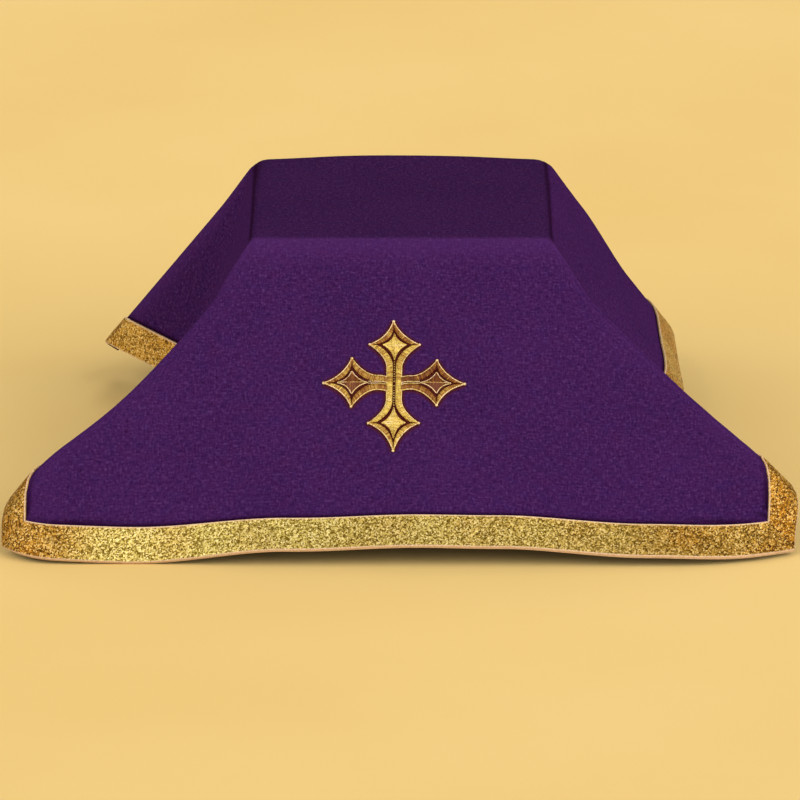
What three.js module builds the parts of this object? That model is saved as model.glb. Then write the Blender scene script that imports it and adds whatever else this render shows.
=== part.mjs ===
// Chalice veil: a square of purple cloth edged all round with gold galloon, a gold cross
// embroidered on its front, hanging from the flat square board that covers a chalice.
import * as THREE from "three";

// Sizes in millimetres, angles in degrees. On the flat cloth u runs to the right and v to the
// back, both from the middle of the board. The origin is the middle of the board's top.
const BOARD = 185; // side of the board
const VEIL = 500; // side of the veil laid out flat
const FRONT_DROP = 206; // cloth hanging in front of the board, measured on the cloth
const LEFT_DROP = 159; // cloth hanging left of it; the veil lies 1.5 mm off centre
const GALLOON = 22; // width of the gold braid
const CLOTH_THICK = 1.4;
const BRAID_THICK = 1.0;
const BRAID_LIFT = 0.4; // clear space under the braid
const CROSS_THICK = 1.5;
const CROSS_LIFT = 0.5;
const MITRE_CUT = 0.3; // each braid ends this far short of the corner's diagonal

// How far each side of the cloth leans out from the vertical. Left and right go from their
// front end to their back end.
const FRONT_LEAN = 39;
const BACK_LEAN = 16;
const LEFT_LEAN = [22, 20.5, 16];
const RIGHT_LEAN = [25, 33.6, 33];

// Each corner of the board gathers the spare cloth in one ridge and one valley. The ridge is
// counted on the flat cloth from the slope line of the side that leads into it: the front at
// the two front corners, the left and right sides at the back. A swing lifts the ridge out
// of that side, and a tuck lifts the valley out of the other one. Most ridges are not straight:
// they bow in by some degrees, from and over these distances, and then partly out.
const CORNERS = [
  { name: "front_left", x: -1, y: -1, ridge: 44.4, swing: 0, tuck: 0, bow: 4.3, from: 15, over: 60, back: 0.7 },
  { name: "front_right", x: 1, y: -1, ridge: 45.4, swing: 0, tuck: 0, bow: 2.6, from: 0, over: 45, back: 0.6 },
  { name: "back_right", x: 1, y: 1, ridge: 28, swing: 0, tuck: 75, bow: 3, from: 60, over: 100, back: 0 },
  { name: "back_left", x: -1, y: 1, ridge: 25, swing: 55, tuck: 69, bow: 0, from: 0, over: 45, back: 0 },
];
const BOW_BACK = { from: 110, over: 90 };

// The front hem's wave along the veil: how far it hangs below a straight hem, and how far it
// kicks forward.
const HEM_WAVE = [
  { u: -250, drop: 3.5, kick: 0 },
  { u: -160, drop: 8.0, kick: 0 },
  { u: -70, drop: -0.6, kick: 4 },
  { u: 10, drop: -4.0, kick: 4 },
  { u: 60, drop: -2.6, kick: 4 },
  { u: 150, drop: 6.2, kick: 6 },
  { u: 220, drop: 9.8, kick: 6 },
  { u: 250, drop: 9.8, kick: 5 },
];
const KICK_WIDTH = 45;

// Roundness of the bends: a radius at the board's edge that grows down the cloth, and is a
// little smaller again at the hem. Towards the back the ridges are crisper, and the board's
// corners are rounder. The lower half of the right back ridge is a soft roll.
const BEND = { board: 4, growth: 0.42, gain: 18, hem: 6, from: 60, length: 120 };
const BEHIND = { from: 20, over: 60, crisp: 0.6, corner: 4, cornerFrom: 40, cornerOver: 50, fade: 12 };
const ROLL = { gain: 2.4, from: 50, over: 60 };

// The front corners curl back. The upper part of a curl goes inwards less than its lower part.
const CURL = { inward: 10, back: 21, from: 0.42, rise: 0.3, lowFrom: 0.8, lowRise: 0.2 };
const CURLS = [
  { side: -1, width: 45, upper: 1 },
  { side: 1, width: 90, upper: 0.6 },
];

// The cross: where its middle lies and how it is turned, then distances along an arm and half
// widths across it. The tips are those of the right, top, left and bottom arm.
const CROSS = { u: -4.2, below: 97.1, turn: -0.8, shaft: 4.5, waist: 9, barb: 26, spread: 15.6 };
const CROSS_TIPS = [43.2, 41.4, 43.0, 44.3];
const CROSS_PULL = { tipEdge: [30.7, 4.2], shaftEdge: [17.5, 3.8] };

const HALF = BOARD / 2;
const LEFT = -HALF - LEFT_DROP;
const RIGHT = LEFT + VEIL;
const FRONT = -HALF - FRONT_DROP;
const BACK = FRONT + VEIL;
const RAD = Math.PI / 180;
const X = new THREE.Vector3(1, 0, 0);
const Y = new THREE.Vector3(0, 1, 0);

const clamp = THREE.MathUtils.clamp;
const ease = (t) => THREE.MathUtils.smoothstep(t, 0, 1);
const mix = (a, p, b, q) => a.clone().multiplyScalar(p).addScaledVector(b, q);

// A value that goes smoothly through three values.
function through([start, middle, end], t) {
  return t < 0.5 ? start + (middle - start) * ease(2 * t) : middle + (end - middle) * ease(2 * t - 1);
}

// The slope line of a side that leans out along one axis.
function slope(axis, sign, degrees) {
  const line = new THREE.Vector3(0, 0, -Math.cos(degrees * RAD));
  return line.setComponent(axis, sign * Math.sin(degrees * RAD));
}

// A direction turned out of its side, towards the side's outer face.
function lifted(direction, line, degrees) {
  const normal = line.clone().cross(direction).normalize();
  if (normal.z < 0) normal.negate();
  return mix(direction, Math.cos(degrees * RAD), normal, Math.sin(degrees * RAD));
}

// A corner's cloth before it is folded: its two slope lines and the lines beside them.
function openCorner(corner) {
  const sideLean = corner.x < 0 ? LEFT_LEAN : RIGHT_LEAN;
  const sideLine = slope(0, corner.x, corner.y < 0 ? sideLean[0] : sideLean[2]);
  const endLine = slope(1, corner.y, corner.y < 0 ? FRONT_LEAN : BACK_LEAN);
  const alongX = X.clone().multiplyScalar(corner.x);
  const alongY = Y.clone().multiplyScalar(corner.y);
  const [lead, leadAxis, trail, trailAxis] =
    corner.y < 0 ? [endLine, alongX, sideLine, alongY] : [sideLine, alongY, endLine, alongX];
  const side = lifted(leadAxis, lead, corner.swing);
  const inner = lifted(trailAxis, trail, corner.tuck);
  return { ...corner, lead, side, trail, inner };
}

// The fold at a distance from the corner. The flat angle between the ridge and the valley is
// kept, which fixes where the valley lies.
function foldAt(corner, reach) {
  const out = corner.back * ease((reach - BOW_BACK.from) / BOW_BACK.over);
  const bow = corner.bow * ease((reach - corner.from) / corner.over) * (1 - out);
  const ridge = (corner.ridge - bow) * RAD;
  const rest = Math.PI / 2 - ridge;
  const crest = mix(corner.lead, Math.cos(ridge), corner.side, Math.sin(ridge));
  const rise = crest.dot(corner.trail) - Math.cos(rest);
  const gap = Math.atan2(rise, Math.sin(rest) - crest.dot(corner.inner));
  const valley = mix(corner.trail, Math.cos(gap), corner.inner, Math.sin(gap));
  return { ridge, crest, valley, foot: Math.PI / 2 - gap };
}

const FOLDS = CORNERS.map(openCorner);

// Direction in space of the flat line at an angle from the leading side's slope line.
function cornerDirection(corner, angle, reach) {
  const fold = foldAt(corner, reach);
  if (angle <= fold.ridge) return mix(corner.lead, Math.cos(angle), corner.side, Math.sin(angle));
  if (angle >= fold.foot) return mix(corner.trail, Math.sin(angle), corner.inner, Math.cos(angle));
  const t = (angle - fold.ridge) / (fold.foot - fold.ridge);
  const whole = fold.crest.angleTo(fold.valley);
  const p = Math.sin((1 - t) * whole) / Math.sin(whole);
  return mix(fold.crest, p, fold.valley, Math.sin(t * whole) / Math.sin(whole));
}

// The cloth with sharp folds: the nearest point of the board, then straight on from there.
function folded(u, v) {
  const cu = clamp(u, -HALF, HALF);
  const cv = clamp(v, -HALF, HALF);
  const du = u - cu;
  const dv = v - cv;
  const point = new THREE.Vector3(cu, cv, 0);
  if (du === 0 && dv === 0) return point;
  const t = (cv + HALF) / BOARD;
  let direction;
  if (du === 0) {
    direction = dv < 0 ? slope(1, -1, FRONT_LEAN) : slope(1, 1, BACK_LEAN);
  } else if (dv === 0) {
    direction = du < 0 ? slope(0, -1, through(LEFT_LEAN, t)) : slope(0, 1, through(RIGHT_LEAN, t));
  } else {
    const fold = FOLDS.find((f) => f.x === Math.sign(du) && f.y === Math.sign(dv));
    const [across, along] = fold.y < 0 ? [du, dv] : [dv, du];
    direction = cornerDirection(fold, Math.atan2(Math.abs(across), Math.abs(along)), Math.hypot(du, dv));
  }
  return point.addScaledVector(direction, Math.hypot(du, dv));
}

// The same cloth with rounded folds: the mean over a disc around each point.
function rounded(u, v) {
  const reach = Math.hypot(Math.max(Math.abs(u) - HALF, 0), Math.max(Math.abs(v) - HALF, 0));
  const behind = ease((v - BEHIND.from) / BEHIND.over);
  const atCorner = behind * ease((Math.abs(u) - BEHIND.cornerFrom) / BEHIND.cornerOver);
  const board = BEND.board + BEHIND.corner * atCorner * (1 - ease(reach / BEHIND.fade));
  const hem = BEND.hem * clamp((reach - BEND.from) / BEND.length, 0, 1);
  const growth = Math.min(BEND.growth * reach, BEND.gain) - hem;
  const roll = u > 0 ? ROLL.gain * ease((reach - ROLL.from) / ROLL.over) : 0;
  const radius = board + (1 - (BEHIND.crisp - roll) * behind) * growth;
  const sum = folded(u, v);
  let count = 1;
  for (const [ring, points] of [[0.5, 6], [1, 12]]) {
    for (let i = 0; i < points; i += 1) {
      const a = (2 * Math.PI * (i + 0.5 * ring)) / points;
      sum.add(folded(u + ring * radius * Math.cos(a), v + ring * radius * Math.sin(a)));
      count += 1;
    }
  }
  return sum.divideScalar(count);
}

// One column of the hem's wave at a place along it.
function hemWave(u, key) {
  const last = HEM_WAVE[HEM_WAVE.length - 1];
  if (u <= HEM_WAVE[0].u) return HEM_WAVE[0][key];
  if (u >= last.u) return last[key];
  const i = HEM_WAVE.findIndex((row) => row.u >= u);
  const [a, b] = [HEM_WAVE[i - 1], HEM_WAVE[i]];
  return a[key] + (b[key] - a[key]) * ease((u - a.u) / (b.u - a.u));
}

// Middle of the cloth's thickness, in space.
function drape(u, v) {
  const point = rounded(u, v);
  const down = clamp((-HALF - v) / FRONT_DROP, 0, 1);
  const wave = hemWave(u, "drop") * down ** 1.5;
  const kick = hemWave(u, "kick") * clamp((FRONT + KICK_WIDTH - v) / KICK_WIDTH, 0, 1.2) ** 2;
  point.z += CLOTH_THICK / 2 - 0.85 * wave + 0.75 * kick;
  point.y += 0.35 * wave - kick;
  const lowFront = ease((down - CURL.from) / CURL.rise);
  const lowest = ease((down - CURL.lowFrom) / CURL.lowRise);
  for (const { side, width, upper } of CURLS) {
    const inside = side * (side < 0 ? LEFT : RIGHT) - side * u;
    const curl = clamp((width - inside) / width, 0, 1.2) ** 2 * lowFront;
    point.x -= side * CURL.inward * curl * (upper + (1 - upper) * lowest);
    point.y += CURL.back * curl;
  }
  return point;
}

// Outer side of the cloth at a point.
function outward(u, v, step = 1.5) {
  const across = drape(u + step, v).sub(drape(u - step, v));
  const along = drape(u, v + step).sub(drape(u, v - step));
  return across.cross(along).normalize();
}

// A draped piece as a closed solid: flat triangles, counter-clockwise from above, between two
// heights over the middle of the cloth.
function drapedSolid(points, triangles, low, high) {
  const count = points.length;
  const middle = points.map(([u, v]) => drape(u, v));
  const normal = points.map(([u, v]) => outward(u, v));
  const face = (height) => middle.map((p, i) => p.clone().addScaledVector(normal[i], height));
  const shell = [...face(low), ...face(high)];
  const faces = [];
  const edges = new Set();
  for (const [a, b, c] of triangles) {
    faces.push([a + count, b + count, c + count], [a, c, b]);
    for (const [p, q] of [[a, b], [b, c], [c, a]]) edges.add(p * count + q);
  }
  for (const edge of edges) {
    const p = Math.floor(edge / count);
    const q = edge % count;
    if (edges.has(q * count + p)) continue;
    faces.push([q + count, p + count, p], [q + count, p, q]);
  }
  const geometry = new THREE.BufferGeometry().setFromPoints(shell);
  geometry.setIndex(faces.flat());
  geometry.computeVertexNormals();
  return geometry;
}

// Flat points and triangles of a net, whose columns start at the board and end at the hem.
function net(columns, closed) {
  const points = [];
  const numbers = new Map();
  const number = ([u, v]) => {
    const key = `${u.toFixed(5)},${v.toFixed(5)}`;
    if (!numbers.has(key)) {
      numbers.set(key, points.length);
      points.push([u, v]);
    }
    return numbers.get(key);
  };
  const triangles = [];
  const add = (...corners) => {
    const ids = corners.map(number);
    if (new Set(ids).size === 3) triangles.push(ids);
  };
  const last = closed ? columns.length : columns.length - 1;
  for (let i = 0; i < last; i += 1) {
    const here = columns[i];
    const next = columns[(i + 1) % columns.length];
    for (let j = 0; j + 1 < here.length; j += 1) {
      add(here[j], here[j + 1], next[j + 1]);
      add(here[j], next[j + 1], next[j]);
    }
    if (closed) add([0, 0], here[0], next[0]);
  }
  return { points, triangles };
}

// Flat angles of the columns that leave a corner of the board, dense at the ridge and the
// valley, with the veil's own corner as one of them.
function cornerRays(fold) {
  const ridge = fold.ridge;
  const valley = foldAt(fold, 0).foot / RAD;
  const wide = fold.x < 0 ? -HALF - LEFT : RIGHT - HALF;
  const deep = fold.y < 0 ? -HALF - FRONT : BACK - HALF;
  const tip = Math.atan2(fold.y < 0 ? wide : deep, fold.y < 0 ? deep : wide) / RAD;
  const angles = [8, 15, 22, 29];
  angles.push(...[-10, -7, -5, -3.6, -2.2, -0.8, 0.8, 2.2, 5, 10].map((d) => ridge + d));
  angles.push((ridge + valley) / 2, ...[-6, -2.5, 0, 2.5, 6, 12].map((d) => valley + d));
  const kept = angles.filter((a) => Math.abs(a - tip) > 1.3 && a < 84);
  const spaced = kept.sort((a, b) => a - b).filter((a, i, all) => i === 0 || a - all[i - 1] > 1.2);
  const rays = spaced.map((angle) => ({ angle }));
  return [...rays, { angle: tip, corner: true }].sort((a, b) => a.angle - b.angle);
}

// A column: where it starts, where it meets the braid and where it ends. Its sides are the
// braids it belongs to.
function flapColumn(u, v, side) {
  const ends = { front: [u, FRONT], back: [u, BACK], left: [LEFT, v], right: [RIGHT, v] };
  const inner = { front: [u, FRONT + GALLOON], back: [u, BACK - GALLOON] };
  inner.left = [LEFT + GALLOON, v];
  inner.right = [RIGHT - GALLOON, v];
  return { start: [u, v], braid: inner[side], hem: ends[side], sides: [side] };
}

function cornerColumn(fold, { angle, corner }) {
  const start = [fold.x * HALF, fold.y * HALF];
  const sideName = fold.x < 0 ? "left" : "right";
  const endName = fold.y < 0 ? "front" : "back";
  const [c, s] = [Math.cos(angle * RAD), Math.sin(angle * RAD)];
  const [dx, dy] = fold.y < 0 ? [s, c] : [c, s];
  const wide = fold.x < 0 ? -HALF - LEFT : RIGHT - HALF;
  const deep = fold.y < 0 ? -HALF - FRONT : BACK - HALF;
  const at = (cut) => {
    if (corner) return [start[0] + fold.x * (wide - cut), start[1] + fold.y * (deep - cut)];
    const reach = Math.min((wide - cut) / dx, (deep - cut) / dy);
    return [start[0] + fold.x * dx * reach, start[1] + fold.y * dy * reach];
  };
  const first = wide / dx < deep / dy ? sideName : endName;
  return { start, braid: at(GALLOON), hem: at(0), sides: corner ? [sideName, endName] : [first] };
}

// All columns, once round the board: front, right, back, left, each followed by its corner.
function allColumns() {
  const steps = (count) => Array.from({ length: count + 1 }, (_, i) => -HALF + (BOARD * i) / count);
  const [frontLeft, frontRight, backRight, backLeft] = FOLDS;
  const rays = (fold) => cornerRays(fold).map((ray) => cornerColumn(fold, ray));
  return [
    ...steps(10).map((u) => flapColumn(u, -HALF, "front")),
    ...rays(frontRight),
    ...steps(8).map((v) => flapColumn(HALF, v, "right")),
    ...rays(backRight),
    ...steps(4).reverse().map((u) => flapColumn(u, HALF, "back")),
    ...rays(backLeft).reverse(),
    ...steps(8).reverse().map((v) => flapColumn(-HALF, v, "left")),
    ...rays(frontLeft).reverse(),
  ];
}

const COLUMNS = allColumns();
const INSETS = [6, 2.5];
const FIRST_ROWS = [3, 8, 18];
const LOWER_ROWS = [0.13, 0.27, 0.46, 0.72];

// Points of one column on the flat cloth, from inside the board's edge to the hem.
function clothColumn({ start, braid, hem }) {
  const inside = INSETS.map((inset) => start.map((c) => c * (1 - inset / HALF)));
  const length = Math.hypot(braid[0] - start[0], braid[1] - start[1]);
  const along = (distance) => start.map((c, i) => c + ((braid[i] - c) * distance) / length);
  const first = FIRST_ROWS[FIRST_ROWS.length - 1];
  const lower = LOWER_ROWS.map((part) => along(first + (length - first) * part));
  return [...inside, start, ...FIRST_ROWS.map(along), ...lower, braid, hem];
}

function clothGeometry() {
  const { points, triangles } = net(COLUMNS.map(clothColumn), true);
  return drapedSolid(points, triangles, -CLOTH_THICK / 2, CLOTH_THICK / 2);
}

// One length of braid, mitred at both ends.
function braidGeometry(side) {
  const all = COLUMNS.length;
  const has = (i) => COLUMNS[(i + all) % all].sides.includes(side);
  const first = COLUMNS.findIndex((_, i) => has(i) && !has(i - 1));
  const own = [];
  for (let i = first; has(i); i += 1) own.push(COLUMNS[i % all]);
  const run = { front: [1, 0], right: [0, 1], back: [-1, 0], left: [0, -1] }[side];
  const strips = own.map(({ braid, hem }, i) => {
    const shift = i === 0 ? MITRE_CUT : i === own.length - 1 ? -MITRE_CUT : 0;
    return [braid, hem].map((p) => p.map((c, k) => c + run[k] * shift));
  });
  const { points, triangles } = net(strips, false);
  const low = CLOTH_THICK / 2 + BRAID_LIFT;
  return drapedSolid(points, triangles, low, low + BRAID_THICK);
}

// Outline of the cross: four arms, each ending in a diamond with hollow sides.
function crossOutline() {
  const { turn, shaft, waist, barb, spread } = CROSS;
  const { tipEdge, shaftEdge } = CROSS_PULL;
  const shape = new THREE.Shape();
  for (const [i, tip] of CROSS_TIPS.entries()) {
    const c = Math.cos((90 * i + turn) * RAD);
    const s = Math.sin((90 * i + turn) * RAD);
    const at = (x, y) => [x * c - y * s, x * s + y * c];
    if (i === 0) shape.moveTo(...at(shaft, -shaft));
    shape.lineTo(...at(waist, -shaft));
    shape.quadraticCurveTo(...at(shaftEdge[0], -shaftEdge[1]), ...at(barb, -spread));
    shape.quadraticCurveTo(...at(tipEdge[0], -tipEdge[1]), ...at(tip, 0));
    shape.quadraticCurveTo(...at(tipEdge[0], tipEdge[1]), ...at(barb, spread));
    shape.quadraticCurveTo(...at(shaftEdge[0], shaftEdge[1]), ...at(waist, shaft));
    shape.lineTo(...at(shaft, shaft));
  }
  return shape.getPoints(6);
}

function crossGeometry() {
  const outline = crossOutline();
  const before = (i) => outline[(i + outline.length - 1) % outline.length];
  const distinct = outline.filter((p, i) => p.distanceTo(before(i)) > 0.01);
  const triangles = THREE.ShapeUtils.triangulateShape(distinct, []);
  const points = distinct.map((p) => [p.x + CROSS.u, p.y - HALF - CROSS.below]);
  const low = CLOTH_THICK / 2 + CROSS_LIFT;
  return drapedSolid(points, triangles, low, low + CROSS_THICK);
}

function piece(name, geometry, color, roughness, metalness) {
  const mesh = new THREE.Mesh(geometry, new THREE.MeshStandardMaterial({ color, roughness, metalness }));
  mesh.name = name;
  return mesh;
}

const veil = new THREE.Group();
veil.add(
  piece("cloth", clothGeometry(), 0x4b1f68, 0.85, 0),
  piece("braid_front", braidGeometry("front"), 0xb08c45, 0.5, 0.3),
  piece("braid_right", braidGeometry("right"), 0xb08c45, 0.5, 0.3),
  piece("braid_back", braidGeometry("back"), 0xb08c45, 0.5, 0.3),
  piece("braid_left", braidGeometry("left"), 0xb08c45, 0.5, 0.3),
  piece("cross", crossGeometry(), 0xd0a24a, 0.45, 0.2),
);

export default veil;
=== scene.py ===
"""Looks of a chalice veil: a purple cloth with gold galloon and an embroidered gold cross.

The cloth follows the same folds as its solid. Flat positions on the cloth are in millimetres,
u to the right and v to the back from the middle of the board it lies on.
"""

import math

import bpy
import numpy as np
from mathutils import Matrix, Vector


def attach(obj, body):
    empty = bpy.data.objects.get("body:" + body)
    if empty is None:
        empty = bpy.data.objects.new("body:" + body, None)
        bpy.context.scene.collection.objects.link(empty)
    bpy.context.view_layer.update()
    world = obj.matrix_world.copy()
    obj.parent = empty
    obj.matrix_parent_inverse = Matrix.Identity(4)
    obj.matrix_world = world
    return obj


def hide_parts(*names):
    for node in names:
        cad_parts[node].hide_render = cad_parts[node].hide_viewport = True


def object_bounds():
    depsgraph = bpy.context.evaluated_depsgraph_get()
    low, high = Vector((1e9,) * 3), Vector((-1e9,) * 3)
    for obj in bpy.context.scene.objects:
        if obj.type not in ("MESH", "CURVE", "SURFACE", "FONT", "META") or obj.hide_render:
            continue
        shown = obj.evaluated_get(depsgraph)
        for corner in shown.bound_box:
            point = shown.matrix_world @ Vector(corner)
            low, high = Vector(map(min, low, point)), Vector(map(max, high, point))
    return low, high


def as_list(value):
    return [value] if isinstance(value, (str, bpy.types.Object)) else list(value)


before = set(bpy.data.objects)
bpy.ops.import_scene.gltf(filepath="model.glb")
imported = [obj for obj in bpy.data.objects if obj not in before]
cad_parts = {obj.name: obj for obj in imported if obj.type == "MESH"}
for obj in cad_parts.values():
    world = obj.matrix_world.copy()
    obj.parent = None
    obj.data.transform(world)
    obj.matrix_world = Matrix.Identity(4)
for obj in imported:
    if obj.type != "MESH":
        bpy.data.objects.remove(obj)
cad_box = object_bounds()

# Sizes of the cut and its folds

BOARD, VEIL, FRONT_DROP, LEFT_DROP = 185.0, 500.0, 206.0, 159.0
GALLOON = 22.0
CLOTH_MIDDLE = 0.7  # height of the cloth's middle over the board
HALF_THICK = 0.42  # half the cloth's thickness
HEM_THICK, HEM_WIDTH = 0.24, 14  # the hem turned under it
BRAID_BOTTOM, BRAID_TOP = 0.62, 0.97  # heights of the braid over the middle of the cloth
FRONT_LEAN, BACK_LEAN = 39.0, 16.0
LEFT_LEAN = (22.0, 20.5, 16.0)
RIGHT_LEAN = (25.0, 33.6, 33.0)
CORNERS = [
    {"x": -1, "y": -1, "ridge": 44.4, "swing": 0, "tuck": 0, "bow": 4.3, "from": 15, "over": 60, "out": 0.7},
    {"x": 1, "y": -1, "ridge": 45.4, "swing": 0, "tuck": 0, "bow": 2.6, "from": 0, "over": 45, "out": 0.6},
    {"x": 1, "y": 1, "ridge": 28, "swing": 0, "tuck": 75, "bow": 3, "from": 60, "over": 100, "out": 0},
    {"x": -1, "y": 1, "ridge": 25, "swing": 55, "tuck": 69, "bow": 0, "from": 0, "over": 45, "out": 0},
]
HEM_WAVE = [
    {"u": -250, "drop": 3.5, "kick": 0},
    {"u": -160, "drop": 8.0, "kick": 0},
    {"u": -70, "drop": -0.6, "kick": 4},
    {"u": 10, "drop": -4.0, "kick": 4},
    {"u": 60, "drop": -2.6, "kick": 4},
    {"u": 150, "drop": 6.2, "kick": 6},
    {"u": 220, "drop": 9.8, "kick": 6},
    {"u": 250, "drop": 9.8, "kick": 5},
]
# Soft waves of the real cloth: where they run on the flat cloth, how wide, and how high.
# The last row is the low hump at the back of the flat top.
SOFT_FOLDS = [
    {"u": -150, "v": -205, "turn": 62, "length": 90, "width": 17, "height": 0.9},
    {"u": -118, "v": -160, "turn": 52, "length": 75, "width": 12, "height": -0.6},
    {"u": 128, "v": -172, "turn": -55, "length": 80, "width": 15, "height": 0.8},
    {"u": 170, "v": -225, "turn": -70, "length": 60, "width": 16, "height": -0.7},
    {"u": 60, "v": -262, "turn": -84, "length": 50, "width": 26, "height": 0.7},
    {"u": -40, "v": -255, "turn": 86, "length": 60, "width": 24, "height": -0.6},
    {"u": -150, "v": 10, "turn": 8, "length": 60, "width": 18, "height": 0.8},
    {"u": 160, "v": 30, "turn": -6, "length": 60, "width": 18, "height": 0.9},
    {"u": 150, "v": -50, "turn": 14, "length": 55, "width": 14, "height": -0.7},
    {"u": -20, "v": 150, "turn": 80, "length": 50, "width": 20, "height": 0.8},
    {"u": 30, "v": 40, "turn": 30, "length": 80, "width": 22, "height": 0.15},
    {"u": -45, "v": -40, "turn": -24, "length": 80, "width": 20, "height": 0.12},
    {"u": 0, "v": 90, "turn": 0, "length": 72, "width": 15, "height": 2.2},
]

# Roundness of the bends: a radius at the board's edge that grows down the cloth and is a
# little smaller again at the hem. Behind, the ridges are crisper and the board's corners
# rounder, and the lower half of the right back ridge is a soft roll.
BEND = {"board": 4, "growth": 0.42, "gain": 18, "hem": 6, "from": 60, "length": 120}
BEHIND = {"from": 20, "over": 60, "crisp": 0.6}
BACK_CORNER = {"gain": 4, "from": 40, "over": 50, "fade": 12}
ROLL = {"gain": 2.4, "from": 50, "over": 60}
BOW_BACK = {"from": 110, "over": 90}  # where a bowed ridge comes partly out again
KICK_WIDTH = 45  # how wide a strip of the front hem kicks forward
# The front corners curl back, the upper part of a curl less inwards than its lower part.
CURL = {"in": 10, "back": 21, "from": 0.42, "rise": 0.3, "low_from": 0.8, "low_rise": 0.2}
CURLS = [
    {"side": -1, "width": 45, "upper": 1.0},
    {"side": 1, "width": 90, "upper": 0.6},
]

HALF = BOARD / 2
LEFT = -HALF - LEFT_DROP
RIGHT = LEFT + VEIL
FRONT = -HALF - FRONT_DROP
BACK = FRONT + VEIL


# The draped surface


def unit(v):
    return v / np.linalg.norm(v, axis=-1, keepdims=True)


def column(values):
    return np.asarray(values)[..., None]


def ease(t):
    t = np.clip(t, 0, 1)
    return t * t * (3 - 2 * t)


def through(values, t):
    """A value that goes smoothly through three values."""
    start, middle, end = values
    first = start + (middle - start) * ease(2 * t)
    return np.where(t < 0.5, first, middle + (end - middle) * ease(2 * t - 1))


def slope(axis, sign, degrees):
    """The slope line of a side that leans out along one axis."""
    a = np.radians(degrees)
    line = np.zeros(np.shape(degrees) + (3,))
    line[..., axis] = sign * np.sin(a)
    line[..., 2] = -np.cos(a)
    return line


def lifted(direction, line, degrees):
    normal = unit(np.cross(line, direction))
    if normal[2] < 0:
        normal = -normal
    a = math.radians(degrees)
    return direction * math.cos(a) + normal * math.sin(a)


def open_corner(corner):
    """A corner before it is folded: its two slope lines and the lines beside them."""
    x, y = corner["x"], corner["y"]
    side_lean = (LEFT_LEAN if x < 0 else RIGHT_LEAN)[0 if y < 0 else 2]
    side_line = slope(0, x, np.array(side_lean))
    end_line = slope(1, y, np.array(FRONT_LEAN if y < 0 else BACK_LEAN))
    along_x, along_y = np.array([x, 0.0, 0.0]), np.array([0.0, y, 0.0])
    if y < 0:
        lead, lead_axis, trail, trail_axis = end_line, along_x, side_line, along_y
    else:
        lead, lead_axis, trail, trail_axis = side_line, along_y, end_line, along_x
    side = lifted(lead_axis, lead, corner["swing"])
    inner = lifted(trail_axis, trail, corner["tuck"])
    return {**corner, "lead": lead, "side": side, "trail": trail, "inner": inner}


FOLDS = [open_corner(c) for c in CORNERS]


def corner_direction(fold, angle, reach):
    """Direction of the flat lines at these angles, at these distances from the corner."""
    out = fold["out"] * ease((reach - BOW_BACK["from"]) / BOW_BACK["over"])
    bow = fold["bow"] * ease((reach - fold["from"]) / fold["over"]) * (1 - out)
    ridge = np.radians(fold["ridge"] - bow)
    rest = math.pi / 2 - ridge
    crest = column(np.cos(ridge)) * fold["lead"] + column(np.sin(ridge)) * fold["side"]
    gap = np.arctan2(crest @ fold["trail"] - np.cos(rest), np.sin(rest) - crest @ fold["inner"])
    valley = column(np.cos(gap)) * fold["trail"] + column(np.sin(gap)) * fold["inner"]
    foot = math.pi / 2 - gap
    whole = column(np.arccos((crest * valley).sum(-1)))
    c, s = column(np.cos(angle)), column(np.sin(angle))
    t = column(np.clip((angle - ridge) / (foot - ridge), 0, 1))
    fin = (np.sin((1 - t) * whole) * crest + np.sin(t * whole) * valley) / np.sin(whole)
    after = np.where(column(angle >= foot), s * fold["trail"] + c * fold["inner"], fin)
    return np.where(column(angle <= ridge), c * fold["lead"] + s * fold["side"], after)


def folded(u, v):
    """The cloth with sharp folds: the nearest point of the board, then straight on."""
    cu, cv = np.clip(u, -HALF, HALF), np.clip(v, -HALF, HALF)
    du, dv = u - cu, v - cv
    t = (cv + HALF) / BOARD
    line = np.zeros(u.shape + (3,))
    line = np.where(((du == 0) & (dv < 0))[..., None], slope(1, -1, np.array(FRONT_LEAN)), line)
    line = np.where(((du == 0) & (dv > 0))[..., None], slope(1, 1, np.array(BACK_LEAN)), line)
    line = np.where(((dv == 0) & (du < 0))[..., None], slope(0, -1, through(LEFT_LEAN, t)), line)
    line = np.where(((dv == 0) & (du > 0))[..., None], slope(0, 1, through(RIGHT_LEAN, t)), line)
    for fold in FOLDS:
        here = (np.sign(du) == fold["x"]) & (np.sign(dv) == fold["y"])
        if not here.any():
            continue
        across, along = (du[here], dv[here]) if fold["y"] < 0 else (dv[here], du[here])
        angle = np.arctan2(np.abs(across), np.abs(along))
        line[here] = corner_direction(fold, angle, np.hypot(across, along))
    return np.stack([cu, cv, 0 * cu], -1) + np.hypot(du, dv)[..., None] * line


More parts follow.
